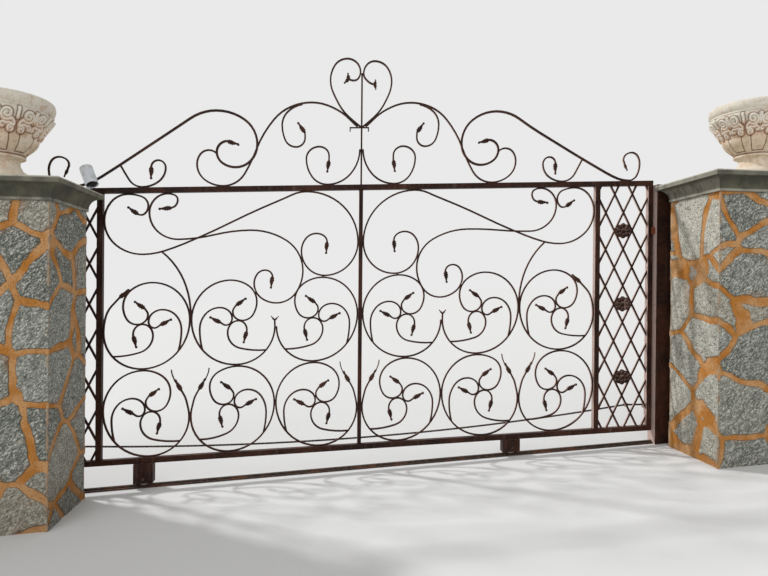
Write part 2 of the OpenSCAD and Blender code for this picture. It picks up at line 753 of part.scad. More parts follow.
module left_pier() { color(stone) pier(-left_pier_x - pier_w, left_pier_top); }
module right_pier() { color(stone) pier(right_pier_x, right_pier_top); }
module left_cap() { color(concrete) cap(-left_pier_x - pier_w, left_pier_top); }
module right_cap() { color(concrete) cap(right_pier_x, right_pier_top); }
module left_urn() { color(cast_stone) urn(-left_pier_x - left_urn_in, left_pier_top); }
module right_urn() { color(cast_stone) urn(right_pier_x + right_urn_in, right_pier_top); }
module catch_post() { color(iron) catch_post_body(); }
module keeper() { color(rust) keeper_fork(); }
module ground_track() { color(steel) track(); }
module top_rail() { color(iron) raked_tube(-gate_end, gate_end, rail_gap, tube); }
module bottom_rail() { color(iron) raked_tube(-gate_end, gate_end, 0, tube); }
module left_end_stile() { color(iron) stile(-half_gate, tube); }
module left_inner_stile() { color(iron) stile(-bay_w, tube); }
module centre_bar() { color(iron) stile(0, centre_tube); }
module right_inner_stile() { color(iron) stile(bay_w, tube); }
module right_end_stile() { color(iron) stile(half_gate, tube); }
module left_lattice() { color(iron) lattice(false); }
module right_lattice() { color(iron) lattice(true); }
module left_lower_scrolls() { color(iron) lower_scrolls(false); }
module right_lower_scrolls() { color(iron) lower_scrolls(true); }
module left_upper_scrolls() { color(iron) upper_scrolls(false); }
module right_upper_scrolls() { color(iron) upper_scrolls(true); }
module crest_scrolls() { color(iron) fence_work(bar_depth) crest_outline(); }
module heart() { color(iron) fence_work(bar_depth) heart_outline(); }
module left_wheel_box() { color(iron) wheel_box(left_wheel_x); }
module right_wheel_box() { color(iron) wheel_box(right_wheel_x); }
module left_axle() { color(steel) axle(left_wheel_x); }
module right_axle() { color(steel) axle(right_wheel_x); }
module left_wheel() { color(steel) wheel(left_wheel_x); }
module right_wheel() { color(steel) wheel(right_wheel_x); }
module drive_chain() { color(steel) chain(); }
module chain_brackets() { color(iron) brackets(); }
module camera_housing() { color(white_shell) housing(); }

translate(-origin) left_pier();
translate(-origin) right_pier();
translate(-origin) left_cap();
translate(-origin) right_cap();
translate(-origin) left_urn();
translate(-origin) right_urn();
translate(-origin) catch_post();
translate(-origin) keeper();
translate(-origin) ground_track();
translate(-origin) top_rail();
translate(-origin) bottom_rail();
translate(-origin) left_end_stile();
translate(-origin) left_inner_stile();
translate(-origin) centre_bar();
translate(-origin) right_inner_stile();
translate(-origin) right_end_stile();
translate(-origin) left_lattice();
translate(-origin) right_lattice();
translate(-origin) left_lower_scrolls();
translate(-origin) right_lower_scrolls();
translate(-origin) left_upper_scrolls();
translate(-origin) right_upper_scrolls();
translate(-origin) crest_scrolls();
translate(-origin) heart();
translate(-origin) left_wheel_box();
translate(-origin) right_wheel_box();
translate(-origin) left_axle();
translate(-origin) right_axle();
translate(-origin) left_wheel();
translate(-origin) right_wheel();
translate(-origin) drive_chain();
translate(-origin) chain_brackets();
translate(-origin) camera_housing();
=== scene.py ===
import math

import bmesh
import bpy
import numpy as np
from mathutils import Matrix, Vector


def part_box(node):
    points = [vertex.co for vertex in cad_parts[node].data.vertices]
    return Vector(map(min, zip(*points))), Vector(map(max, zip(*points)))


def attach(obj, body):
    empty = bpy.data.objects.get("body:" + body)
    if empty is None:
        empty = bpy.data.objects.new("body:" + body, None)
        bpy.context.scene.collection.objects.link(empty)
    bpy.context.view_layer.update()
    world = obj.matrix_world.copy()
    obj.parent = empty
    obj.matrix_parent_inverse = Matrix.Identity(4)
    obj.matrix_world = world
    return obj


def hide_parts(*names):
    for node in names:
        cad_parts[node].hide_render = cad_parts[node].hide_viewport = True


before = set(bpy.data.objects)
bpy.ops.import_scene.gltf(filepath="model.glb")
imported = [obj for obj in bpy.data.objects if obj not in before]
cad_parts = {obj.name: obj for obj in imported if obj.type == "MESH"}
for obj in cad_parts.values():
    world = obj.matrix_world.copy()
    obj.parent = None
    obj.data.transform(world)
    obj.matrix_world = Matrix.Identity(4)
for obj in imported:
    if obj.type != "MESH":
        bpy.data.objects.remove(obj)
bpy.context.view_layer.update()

# Piers: two block piers with a veneer of split grey stone, each stone set by hand in wide
# joints of orange mortar. The mortar lies behind the faces of the stones, and no two of them
# stand out alike.
STONE = 0.37
JOINT = 0.044
MORTAR_BACK = 0.011
STONE_UNEVEN = 0.005
STONE_ARRIS = (-0.008, 0.014)
STONE_EDGE = (-0.010, 0.004)
STONE_SQUASH = (0.92, 0.92, 1.12)
STONE_DISORDER = 0.93
STONE_BED_ANGLE = 0.75
LONG_BEND = 0.16
SHORT_BEND = 0.024
JOINT_WANDER = 0.022
STAIN_REACH = 0.09
CORNER_RAMP = 0.03
CORNER_LINE = (0.012, 0.019)
DARKER_BELOW = (0.25, 0.75)
VENEER_GRID = 0.0095
PIERS = {"left_pier": "left_stone_veneer", "right_pier": "right_stone_veneer"}


class Wire:
    """One socket of a node tree. Arithmetic on it adds Math nodes, and node() adds any other."""

    def __init__(self, tree, socket=None):
        self.tree = tree
        self.socket = socket

    def node(self, kind, settings=None, values=None, out=0):
        made = self.tree.nodes.new(kind)
        for key, value in (settings or {}).items():
            setattr(made, key, value)
        for key, value in (values or {}).items():
            self.feed(made.inputs[key], value)
        return Wire(self.tree, made.outputs[out])

    def feed(self, socket, value):
        if isinstance(value, Wire):
            self.tree.links.new(value.socket, socket)
        elif socket.type == "RGBA" and len(value) == 3:
            socket.default_value = (*value, 1.0)
        else:
            socket.default_value = value

    def math(self, operation, first, second):
        return self.node("ShaderNodeMath", {"operation": operation}, {0: first, 1: second})

    def __add__(self, other):
        return self.math("ADD", self, other)

    __radd__ = __add__

    def __mul__(self, other):
        return self.math("MULTIPLY", self, other)

    __rmul__ = __mul__

    def __sub__(self, other):
        return self.math("SUBTRACT", self, other)

    def __rsub__(self, other):
        return self.math("SUBTRACT", other, self)

    def between(self, low, high):
        """0 up to low, 1 from high, and a smooth step from one to the other"""
        return self.node("ShaderNodeMapRange", {"interpolation_type": "SMOOTHSTEP"},
                         {"Value": self, "From Min": low, "From Max": high})

    def grain(self, scale, detail=4.0, roughness=0.55, out=0):
        """Noise over the surface, with so many grains to the metre"""
        values = {"Vector": self, "Scale": scale, "Detail": detail, "Roughness": roughness}
        return self.node("ShaderNodeTexNoise", {}, values, out)

    def stretch(self, x, y, z):
        return self.node("ShaderNodeVectorMath", {"operation": "MULTIPLY"}, {0: self, 1: (x, y, z)})

    def axis(self, name):
        return self.node("ShaderNodeSeparateXYZ", {}, {0: self}, name)

    def over(self, under, colour):
        """This mask lays a colour over another"""
        return self.node("ShaderNodeMix", {"data_type": "RGBA"}, {0: self, 6: under, 7: colour}, 2)


def tint(code):
    """The linear colour of a hex code"""
    parts = [int(code[i:i + 2], 16)/255 for i in (1, 3, 5)]
    return tuple(c/12.92 if c < 0.04045 else ((c + 0.055)/1.055)**2.4 for c in parts)


def new_finish(name):
    """A material, and its Object coordinates"""
    material = bpy.data.materials.new(name)
    material.use_nodes = True
    return material, Wire(material.node_tree).node("ShaderNodeTexCoord", out="Object")


def lay_on(material, colour, rough, height=None, depth=0.001, metallic=0.0, gloss=0.25):
    """Joins colour, roughness and relief to the material's shader"""
    shader = material.node_tree.nodes["Principled BSDF"]
    wire = Wire(material.node_tree)
    wire.feed(shader.inputs["Base Color"], colour)
    wire.feed(shader.inputs["Roughness"], rough)
    wire.feed(shader.inputs["Metallic"], metallic)
    shader.inputs["Specular IOR Level"].default_value = gloss
    if height is not None:
        bump = wire.node("ShaderNodeBump", {}, {"Height": height, "Distance": depth}, "Normal")
        wire.feed(shader.inputs["Normal"], bump)
    return material


def painted_sunlight_side(wire):
    """Where the surface faces the left end of the gate, from which the sun comes: the mask for
    sunlight painted into colours
    """
    return (wire.node("ShaderNodeNewGeometry", out="Normal").axis("X")*-1.0).between(0.3, 0.9)


def veneer_pattern(place):
    """Distance in metres from a stone's edge, and a random colour for each stone"""
    slow = place.grain(2.6, 1.0, 0.5, "Color")
    quick = place.grain(13.0, 2.0, 0.5, "Color")
    bent = place
    for noise, reach in ((slow, LONG_BEND), (quick, SHORT_BEND)):
        shift = noise.node("ShaderNodeVectorMath", {"operation": "SUBTRACT"},
                           {0: noise, 1: (0.5, 0.5, 0.5)})
        bent = bent.node("ShaderNodeVectorMath", {"operation": "MULTIPLY_ADD"},
                         {0: shift, 1: (reach, reach, reach), 2: bent})
    bent = bent.stretch(*STONE_SQUASH)
    settings = {"Vector": bent, "Scale": 1/STONE, "Randomness": STONE_DISORDER}
    edge = bent.node("ShaderNodeTexVoronoi", {"feature": "DISTANCE_TO_EDGE"}, settings, "Distance")
    lot = bent.node("ShaderNodeTexVoronoi", {"feature": "F1"}, settings, "Color")
    return edge*STONE + (place.grain(12.0, 2.0) - 0.5)*JOINT_WANDER, lot


def new_tree(name, inputs):
    """A Geometry Nodes tree with a geometry in and out and the named inputs"""
    tree = bpy.data.node_groups.new(name, "GeometryNodeTree")
    tree.interface.new_socket("Geometry", in_out="OUTPUT", socket_type="NodeSocketGeometry")
    tree.interface.new_socket("Geometry", in_out="INPUT", socket_type="NodeSocketGeometry")
    for label, kind in inputs:
        tree.interface.new_socket(label, in_out="INPUT", socket_type="NodeSocket" + kind)
    source = tree.nodes.new("NodeGroupInput")
    return tree, {s.name: Wire(tree, s) for s in source.outputs if s.name}


def close_tree(shape, material):
    """Every tree ends in plain geometry with its material"""
    real = shape.node("GeometryNodeRealizeInstances", {}, {"Geometry": shape})
    done = real.node("GeometryNodeSetMaterial", {}, {"Geometry": real, "Material": material})
    sink = done.tree.nodes.new("NodeGroupOutput")
    done.feed(sink.inputs["Geometry"], done)


def add_object(name, data):
    """A new object in the scene"""
    made = bpy.data.objects.new(name, data)
    bpy.context.scene.collection.objects.link(made)
    return made


def grow(name, base, tree, values, body, smooth=False):
    """Runs a tree on a base mesh and keeps what it makes as one plain piece on a body"""
    piece = add_object(name, base)
    modifier = piece.modifiers.new("make", "NODES")
    modifier.node_group = tree
    for item in tree.interface.items_tree:
        if item.in_out == "INPUT" and item.name in values:
            modifier[item.identifier] = values[item.name]
    graph = bpy.context.evaluated_depsgraph_get()
    mesh = bpy.data.meshes.new_from_object(piece.evaluated_get(graph),
                                           preserve_all_data_layers=True, depsgraph=graph)
    piece.modifiers.remove(modifier)
    piece.data = mesh
    mesh.name = name
    if smooth:
        mesh.shade_smooth()
    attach(piece, body)
    return piece


def gridded_box(name, low, high, step):
    """The four walls of a box as a fine grid, closed above and below"""
    cells = [round((high[i] - low[i])/step) for i in range(3)]
    x = np.linspace(low.x, high.x, cells[0] + 1)
    y = np.linspace(low.y, high.y, cells[1] + 1)
    rim = ([(v, low.y) for v in x[:-1]] + [(high.x, v) for v in y[:-1]]
           + [(v, high.y) for v in x[:0:-1]] + [(low.x, v) for v in y[:0:-1]])
    n = len(rim)
    rows = cells[2] + 1
    points = [(px, py, pz) for pz in np.linspace(low.z, high.z, rows) for px, py in rim]
    faces = [(r*n + c, r*n + (c + 1) % n, (r + 1)*n + (c + 1) % n, (r + 1)*n + c)
             for r in range(rows - 1) for c in range(n)]
    faces.append(tuple(range(n - 1, -1, -1)))
    faces.append(tuple(range((rows - 1)*n, rows*n)))
    mesh = bpy.data.meshes.new(name)
    mesh.from_pydata(points, [], faces)
    from_edge = [min(px - low.x, high.x - px) + min(py - low.y, high.y - py) for px, py in rim]
    mesh.attributes.new("from_edge", "FLOAT", "POINT").data.foreach_set("value", from_edge*rows)
    return mesh


veneer_tree, veneer_in = new_tree("stone_veneer", [("Joint", "Float"), ("Mortar back", "Float"),
                                                   ("Uneven", "Float"), ("Material", "Material")])
place = veneer_in["Joint"].node("GeometryNodeInputPosition")
edge, lot = veneer_pattern(place)
on_stone = (edge*2.0 - veneer_in["Joint"]).between(*STONE_ARRIS)
from_edge = place.node("GeometryNodeInputNamedAttribute", {"data_type": "FLOAT"},
                       {"Name": "from_edge"}, "Attribute")
back = (veneer_in["Mortar back"]*(1.0 - on_stone)*from_edge.between(0.0, CORNER_RAMP)
        + veneer_in["Uneven"]*on_stone*(lot.axis("X") + place.grain(24.0, 3.0)*0.9))
inward = place.node("GeometryNodeInputNormal").stretch(-1.0, -1.0, 0.0)
shift = inward.node("ShaderNodeVectorMath", {"operation": "SCALE"}, {0: inward, "Scale": back})
kept = place.node("GeometryNodeStoreNamedAttribute",
                  {"data_type": "FLOAT_VECTOR", "domain": "POINT"},
                  {"Geometry": veneer_in["Geometry"], "Name": "rest", "Value": place})
moved = place.node("GeometryNodeSetPosition", {}, {"Geometry": kept, "Offset": shift})
close_tree(moved, veneer_in["Material"])

veneer, _ = new_finish("stone_veneer")
at = Wire(veneer.node_tree).node("ShaderNodeAttribute", {"attribute_name": "rest"}, out="Vector")
edge, lot = veneer_pattern(at)
on_stone = (edge*2.0).between(*(JOINT + out for out in STONE_EDGE))
turned = at.node("ShaderNodeVectorRotate", {"rotation_type": "Y_AXIS"},
                 {"Vector": at, "Angle": STONE_BED_ANGLE})
fleck = turned.stretch(58.0, 84.0, 130.0).grain(1.0, 5.0, 0.8)
cleft = turned.stretch(13.0, 20.0, 42.0).grain(1.0, 6.0, 0.66)
stone_colour = lot.axis("Y").between(0.1, 0.75).over(tint("#70746d"), tint("#8b8e86"))
stone_colour = lot.axis("Z").between(0.62, 0.9).over(stone_colour, tint("#a09b8b"))
# Painted sunlight: the stones are paler on the faces toward the sun, more on some stones than on
# others
stone_colour = (painted_sunlight_side(at)*(lot.axis("X")*0.7 + 0.15)).over(stone_colour, tint("#cbc6b7"))
stone_colour = (cleft.between(0.54, 0.66)*0.55).over(stone_colour, tint("#c9c9bf"))
stone_colour = (fleck.between(0.52, 0.60)*0.8).over(stone_colour, tint("#eae8dc"))
stone_colour = ((1.0 - fleck.between(0.38, 0.46))*0.85).over(stone_colour, tint("#262a22"))
stone_colour = ((1.0 - cleft.between(0.34, 0.48))*0.5).over(stone_colour, tint("#42473f"))
by_joint = 1.0 - (edge*2.0).between(JOINT, JOINT + STAIN_REACH)
stain = at.grain(5.5, 3.0).between(0.54, 0.68)*by_joint
stone_colour = (stain*0.4).over(stone_colour, tint("#9c6b42"))
mortar = at.grain(7.0, 4.0).between(0.36, 0.62).over(tint("#b07432"), tint("#c29566"))
mortar = (at.grain(110.0, 4.0, 0.7).between(0.48, 0.64)*0.55).over(mortar, tint("#76491f"))
at_corner = at.node("ShaderNodeAttribute", {"attribute_name": "from_edge"}, out="Fac")
corner_line = (1.0 - at_corner.between(*CORNER_LINE))*at.grain(9.0, 3.0).between(0.40, 0.56)
# Darker towards the foot of the pier
darker_below = 1.0 - at.axis("Z").between(*DARKER_BELOW)
colour = on_stone.over(mortar, stone_colour)
colour = (corner_line*0.8).over(colour, tint("#b79a7c"))
colour = (darker_below*0.25).over(colour, tint("#5d4a38"))
relief = on_stone*(cleft*2.4 + fleck*0.9) + (1.0 - on_stone)*at.grain(160.0, 3.0)*0.35
lay_on(veneer, colour, on_stone*-0.08 + 0.9, relief, 0.008)

for node, name in PIERS.items():
    sizes = {"Joint": JOINT, "Mortar back": MORTAR_BACK, "Uneven": STONE_UNEVEN, "Material": veneer}
    wall = grow(name, gridded_box(name, *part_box(node), VENEER_GRID), veneer_tree, sizes,
                "piers", smooth=True)
    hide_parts(node)

# Caps: cast concrete slabs with a lip above a cove, laid on each pier. Rain has bleached the
# lip and left dark runs in the cove.
CAP_LIP = 0.036
CAP_FOOT = 0.014
CAP_BLUR = 0.002
CAP_EDGE_LINE = (0.011, 0.004)


def facing_up(wire, low=0.2, high=0.9):
    """Where the surface faces the sky"""
    return wire.node("ShaderNodeNewGeometry", out="Normal").axis("Z").between(low, high)


def dress(node, material):
    """Gives a CAD node its finish"""
    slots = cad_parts[node].data.materials
    slots.clear()
    slots.append(material)


for node in ("left_cap", "right_cap"):
    low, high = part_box(node)
    concrete, at = new_finish(node + "_concrete")
    height = at.axis("Z")
    blotch = at.grain(6.0, 5.0, 0.6)
    grit = at.grain(240.0, 3.0)
    runs = at.stretch(14.0, 14.0, 1.5).grain(1.0, 5.0, 0.6)
    colour = blotch.between(0.35, 0.68).over(tint("#47463d"), tint("#63614f"))
    # Painted sunlight: the cap's faces toward the sun are paler
    colour = (painted_sunlight_side(at)*0.45).over(colour, tint("#a39d8f"))
    colour = (runs.between(0.5, 0.66)*0.6).over(colour, tint("#3c3c34"))
    lip_z = high.z - CAP_LIP
    foot_z = low.z + CAP_FOOT
    lip = height.between(lip_z - CAP_BLUR, lip_z + 2*CAP_BLUR)
    foot = 1.0 - height.between(foot_z - CAP_BLUR, foot_z + 2*CAP_BLUR)
    colour = ((lip*0.3 + foot)*blotch.between(0.25, 0.6)*0.75).over(colour, tint("#a6a497"))
    edge_line = height.between(*(high.z - down for down in CAP_EDGE_LINE))
    colour = (edge_line*0.7).over(colour, tint("#d9d7cb"))
    colour = (facing_up(at)*0.8).over(colour, tint("#b3afa0"))
    colour = (at.grain(13.0, 6.0, 0.75).between(0.50, 0.72)*0.6).over(colour, tint("#4a4132"))
    pits = at.grain(90.0, 2.0).between(0.28, 0.4)
    dress(node, lay_on(concrete, colour, blotch*0.1 + 0.8, grit*0.3 + pits + blotch, 0.0016))

# Urns: cast stone planters, turned in section, with a band of paired scrolls in relief round
# the belly, upright panels below it and an open bowl. One stands on each cap.
URN_TURNS = 448
URN_ROW = 0.0044
URN_NECK_R, URN_NECK_Z = 0.125, 0.17
MOTIFS = 8
MOTIF_TURN = {"left_urn": 0.0, "right_urn": -0.14}
RELIEF = 0.0105
RELIEF_SUNK = 0.85
SPRING_Z, SPRING_R = 0.175, 0.126
CUP_Z, CUP_R = 0.281, 0.209
BELLY_Z, BELLY_R = 0.415, 0.2895
FOOT_SECTION = [(0.0, 0.0), (0.160, 0.0), (0.160, 0.034), (0.157, 0.040), (0.152, 0.0475),
                (0.1365, 0.0675), (0.1145, 0.0825), (0.102, 0.106), (0.097, 0.119), (0.097, 0.133),
                (0.100, 0.145), (0.107, 0.152), (0.122, 0.155), (0.128, 0.159), (0.128, 0.169),
                (0.123, 0.172)]
RIM_SECTION = [(0.2895, 0.424), (0.286, 0.435), (0.279, 0.444), (0.278, 0.454), (0.283, 0.459),
               (0.2885, 0.470), (0.2905, 0.484), (0.2895, 0.498), (0.286, 0.512), (0.279, 0.5195),
               (0.270, 0.522), (0.257, 0.521), (0.250, 0.500), (0.2445, 0.458), (0.2555, 0.415),
               (0.2115, 0.348), (0.175, 0.281), (0.151, 0.211), (0.0, 0.209)]

# The carving. A volute is the x and z of its middle from the middle of the band, its start
# angle, its turns, and its outer and inner radius.
BAND_Z = 0.382
BIG_VOLUTE = (0.061, 0.002, -2.5, 1.6, 0.036, 0.007)
SMALL_VOLUTE = (0.0275, -0.074, 2.2, -1.4, 0.0205, 0.004)
SIDE_CURL = (0.073, -0.060, 2.6, -0.75, 0.017, 0.007)
STEM_BOW = 0.008
LEAF_X, LEAF_BOW = 0.111, 0.012
LEAF_Z, LEAF_RISE = -0.056, 0.088
PIN_FOOT, PIN_TOP = -0.012, 0.044
VOLUTE_POINTS, STEM_POINTS, PIN_POINTS = 90, 64, 24
RIDGE = 0.0054
GROOVE_OUT, GROOVE, GROOVE_DEPTH = 0.0125, 0.004, 0.45
PANEL_FOOT, PANEL_TOP = 0.19, 0.30
PANEL_HALF, PANEL_FLARE = 0.235, 0.12
PANEL_LINE, PANEL_DEPTH = 0.0032, 0.55
SILL_Z = 0.191
CARVED_FOOT, CARVED_TOP = 0.179, 0.440
STAIN_AND_SHADE_FROM, STAIN_AND_SHADE_TO = (0.255, 0.30), (0.345, 0.385)
PALE_BAND = (0.36, 0.40)
LEDGE_SHADE_FROM, LEDGE_SHADE_TO = (0.1695, 0.173), (0.178, 0.183)


def urn_section():
    """Foot, neck and ledge, a bowl that is round below and flares above, and the rim"""
    cup = [(SPRING_R + (CUP_R - SPRING_R)*math.sin(t*math.pi/2), SPRING_Z + (CUP_Z - SPRING_Z)*t)
           for t in np.linspace(0, 1, 9)]
    flare = [(CUP_R + (BELLY_R - CUP_R)*t**1.15, CUP_Z + (BELLY_Z - CUP_Z)*t)
             for t in np.linspace(0.1, 1, 10)]
    return FOOT_SECTION + cup + flare + RIM_SECTION


def spiral(x, z, start, turns, outer, inner):
    """Points of a volute that winds in towards (x, z)"""
    t = np.linspace(0.0, 1.0, VOLUTE_POINTS)
    angle = start + turns*2*math.pi*t
    radius = outer + (inner - outer)*t
    return np.stack([x + radius*np.cos(angle), z + radius*np.sin(angle)], 1)


def scroll_motif():
    """One motif: two volutes above, two below, the stems that join them, curls beside and a leaf
    between it and the next motif"""
    big = spiral(*BIG_VOLUTE)
    small = spiral(*SMALL_VOLUTE)
    curl = spiral(*SIDE_CURL)
    t = np.linspace(0.0, 1.0, STEM_POINTS)[:, None]
    bow = np.sin(math.pi*t)
    stem = big[0]*(1 - t) + small[0]*t + np.array([[-STEM_BOW, 0.0]])*bow
    arm = small[0]*(1 - t) + curl[0]*t + np.array([[0.0, STEM_BOW]])*bow
    leaf = np.concatenate([LEAF_X - LEAF_BOW*bow, LEAF_Z + LEAF_RISE*t], 1)
    half = np.concatenate([big, small, stem, curl, arm, leaf])
    pin = np.stack([np.zeros(PIN_POINTS), np.linspace(PIN_FOOT, PIN_TOP, PIN_POINTS)], 1)
    return np.concatenate([half, half*np.array([-1.0, 1.0]), pin])


def urn_relief(angle, radius, height):
    """How far the surface stands out, 1 on the ridge of a scroll and below 0 in a groove: scrolls
    in the band and panels below it"""
    pitch = 2*math.pi/MOTIFS
    local = (angle + pitch/2) % pitch - pitch/2
    spot = np.stack([local*radius, height - BAND_Z], 1)
    nearest = np.full(len(spot), 1.0)
    for point in scroll_motif():
        nearest = np.minimum(nearest, np.hypot(*(spot - point).T))
    ridges = np.exp(-(nearest/RIDGE)**2)
    grooves = np.exp(-((nearest - GROOVE_OUT)/GROOVE)**2)
    half_panel = (PANEL_HALF + PANEL_FLARE*(height - PANEL_FOOT))*radius
    from_middle = np.abs(pitch/2 - np.abs(local))*radius
    on_panel = (height > PANEL_FOOT) & (height < PANEL_TOP)
    upright = np.exp(-((from_middle - half_panel)/PANEL_LINE)**2)*on_panel
    sill = np.exp(-((height - SILL_Z)/PANEL_LINE)**2)*(from_middle < half_panel)
    return ridges - GROOVE_DEPTH*grooves - PANEL_DEPTH*np.maximum(upright, sill)


def turned_urn(name, node, material):
    """The section turned round the urn's axis, in fine rows on the bowl, with the carving sunk in
    it and a face that closes each end"""
    low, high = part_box(node)
    outline = urn_section()
    section = []
    for (r0, z0), (r1, z1) in zip(outline[:-1], outline[1:]):
        on_bowl = min(r0, r1) > URN_NECK_R and z0 > URN_NECK_Z
        steps = max(1, round(math.hypot(r1 - r0, z1 - z0)/URN_ROW)) if on_bowl else 2
        section += [(r0 + (r1 - r0)*k/steps, z0 + (z1 - z0)*k/steps) for k in range(steps)]
    section = np.array(section[1:] + [outline[-2]])
    rows = len(section)
    turn = np.linspace(0.0, 2*math.pi, URN_TURNS, endpoint=False)
    radius = np.repeat(section[:, 0], URN_TURNS)
    height = np.repeat(section[:, 1], URN_TURNS)
    angle = np.tile(turn, rows)
    outside = np.repeat(np.arange(rows) < np.argmax(section[:, 1]), URN_TURNS)
    carved = outside & (height > CARVED_FOOT) & (height < CARVED_TOP)
    lift = np.zeros(len(radius))
    lift[carved] = urn_relief(angle[carved] - MOTIF_TURN[node], radius[carved], height[carved])
    radius = radius + carved*RELIEF*(lift - RELIEF_SUNK)
    middle = (low + high)/2
    points = np.stack([middle.x + radius*np.cos(angle), middle.y + radius*np.sin(angle),
                       low.z + height], 1)
    faces = [(r*URN_TURNS + c, r*URN_TURNS + (c + 1) % URN_TURNS,
              (r + 1)*URN_TURNS + (c + 1) % URN_TURNS, (r + 1)*URN_TURNS + c)
             for r in range(rows - 1) for c in range(URN_TURNS)]
    faces.append(tuple(range(URN_TURNS - 1, -1, -1)))
    faces.append(tuple(range((rows - 1)*URN_TURNS, rows*URN_TURNS)))
    mesh = bpy.data.meshes.new(name)
    mesh.from_pydata(points.tolist(), [], faces)
    mesh.attributes.new("carving", "FLOAT", "POINT").data.foreach_set("value", lift)
    mesh.attributes.new("height", "FLOAT", "POINT").data.foreach_set("value", height)
    mesh.materials.append(material)
    mesh.shade_smooth()
    piece = add_object(name, mesh)
    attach(piece, "piers")
    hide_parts(node)


cast_stone, at = new_finish("cast_stone")
carving = at.node("ShaderNodeAttribute", {"attribute_name": "carving"}, out="Fac")
height = at.node("ShaderNodeAttribute", {"attribute_name": "height"}, out="Fac")
warm = at.grain(9.0, 4.0, 0.6)
dust = at.grain(60.0, 5.0, 0.65)
pores = at.grain(170.0, 3.0)
colour = warm.between(0.38, 0.64).over(tint("#e2d5c2"), tint("#d3bda4"))
# A warm stain with painted shade below the band of scrolls, where the bowl recedes
warm_stain_and_shade = height.between(*STAIN_AND_SHADE_FROM)*(1.0 - height.between(*STAIN_AND_SHADE_TO))*warm.between(0.3, 0.5)
colour = (warm_stain_and_shade*0.55).over(colour, tint("#c49a7e"))
colour = (height.between(*PALE_BAND)*0.75).over(colour, tint("#d6d2c6"))
colour = (at.grain(26.0, 5.0, 0.7).between(0.50, 0.64)*0.5).over(colour, tint("#bb9678"))
colour = (dust.between(0.52, 0.70)*0.45).over(colour, tint("#9c8a70"))
colour = (pores.between(0.60, 0.74)*0.35).over(colour, tint("#75685a"))
# Dirt and painted shade darken the grooves of the carving, and a painted highlight lightens its
# ridges
colour = ((1.0 - carving.between(-0.42, -0.06))*0.85).over(colour, tint("#6d4b33"))
colour = (carving.between(0.4, 0.9)*0.85).over(colour, tint("#f0eadf"))
# Painted shade: a dark line in the groove where the bowl springs from the ledge
ledge_groove_shade = height.between(*LEDGE_SHADE_FROM)*(1.0 - height.between(*LEDGE_SHADE_TO))
colour = (ledge_groove_shade*0.8).over(colour, tint("#7d4c31"))
colour = (facing_up(at)*0.5).over(colour, tint("#d8d2c4"))
lay_on(cast_stone, colour, dust*0.1 + 0.78, dust*0.6 + pores*0.5, 0.0016)
for node in ("left_urn", "right_urn"):
    turned_urn(node + "_cast", node, cast_stone)

# Camera housing: a white enamelled tube on a pin at the inner corner of the left cap, with a
# dark glass recessed in its front end.
HOUSING_IN = 0.076
HOUSING_FORE = 0.060
HOUSING_UP = 0.114
HOUSING_LENGTH = 0.140
GLASS_R = 0.0365
GLASS_CROWN = 0.18
GLASS_BACK = 0.0095
HOUSING_AIM = Vector((0.42, -0.33, -0.85)).normalized()


def as_mesh(name, shape):
    """The mesh that a shape has been worked into"""
    mesh = bpy.data.meshes.new(name)
    shape.to_mesh(mesh)
    shape.free()
    return mesh


enamel, at = new_finish("white_enamel")
film = at.grain(30.0, 5.0)
colour = film.between(0.45, 0.7).over(tint("#d0d6de"), tint("#b4b7ba"))
colour = (facing_up(at)*0.35).over(colour, tint("#a9a498"))
dress("camera_housing", lay_on(enamel, colour, film*0.2 + 0.3, film, 0.0002))

glass, at = new_finish("dark_glass")
ring = at.grain(160.0, 1.0).between(0.5, 0.6)
lay_on(glass, (ring*0.5).over(tint("#0d0e11"), tint("#1d2026")), ring*0.1 + 0.08)

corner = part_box("left_cap")[1]
housing_middle = corner - Vector((HOUSING_IN, HOUSING_FORE, -HOUSING_UP))
shape = bmesh.new()
bmesh.ops.create_uvsphere(shape, u_segments=40, v_segments=16, radius=GLASS_R)
bmesh.ops.scale(shape, vec=(1.0, 1.0, GLASS_CROWN), verts=shape.verts)
glass_turn = Vector((0.0, 0.0, 1.0)).rotation_difference(HOUSING_AIM).to_matrix().to_4x4()
glass_spot = housing_middle + HOUSING_AIM*(HOUSING_LENGTH/2 - GLASS_BACK)
bmesh.ops.transform(shape, matrix=Matrix.Translation(glass_spot) @ glass_turn, verts=shape.verts)
pane_mesh = as_mesh("housing_glass", shape)
pane_mesh.materials.append(glass)
pane_mesh.shade_smooth()
pane = add_object("housing_glass", pane_mesh)
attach(pane, "piers")

# Track: steel angle laid crown up on a flat strip, with a fall towards its left end. Its crown
# is bright where the wheels run, the rest has rusted, and screws hold the strip down.
TRACK_SLOPE = 0.06
CROWN_BRIGHT = 0.004
SCREW_SPACING = 0.45
SCREW_FROM_END = 0.15
SCREW_OUT = 0.0195
SCREW_R = 0.0048
SCREW_HEAD = 0.004
SCREW_TAPER = 0.92
SCREW_UP = 0.0018
SCREW_TURN = 0.35
TRACK_STRIP = 0.0162

track_low, track_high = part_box("ground_track")


def worn_steel(name, bright, rust=0.7):
    """Rusty steel, with a bright part where bright says so"""
    material, at = new_finish(name)
    scale = at.grain(45.0, 6.0, 0.65)
    bloom = at.grain(9.0, 4.0)
    colour = scale.between(0.4, 0.62).over(tint("#2b211c"), tint("#4d3b31"))
    colour = (bloom.between(0.5, 0.64)*rust).over(colour, tint("#6f4429"))
    shine = bright(at)
    colour = shine.over(colour, tint("#8f8b86"))
    return lay_on(material, colour, 0.78 - shine*0.45, scale, 0.0005, shine*0.9)


def on_crown(at):
    """Where the wheels polish the track"""
    height = at.axis("Z") - at.axis("X")*TRACK_SLOPE
    crown = track_high.z - track_high.x*TRACK_SLOPE
    return height.between(crown - CROWN_BRIGHT, crown - CROWN_BRIGHT*0.3)


dress("ground_track", worn_steel("track_steel", on_crown, 0.4))

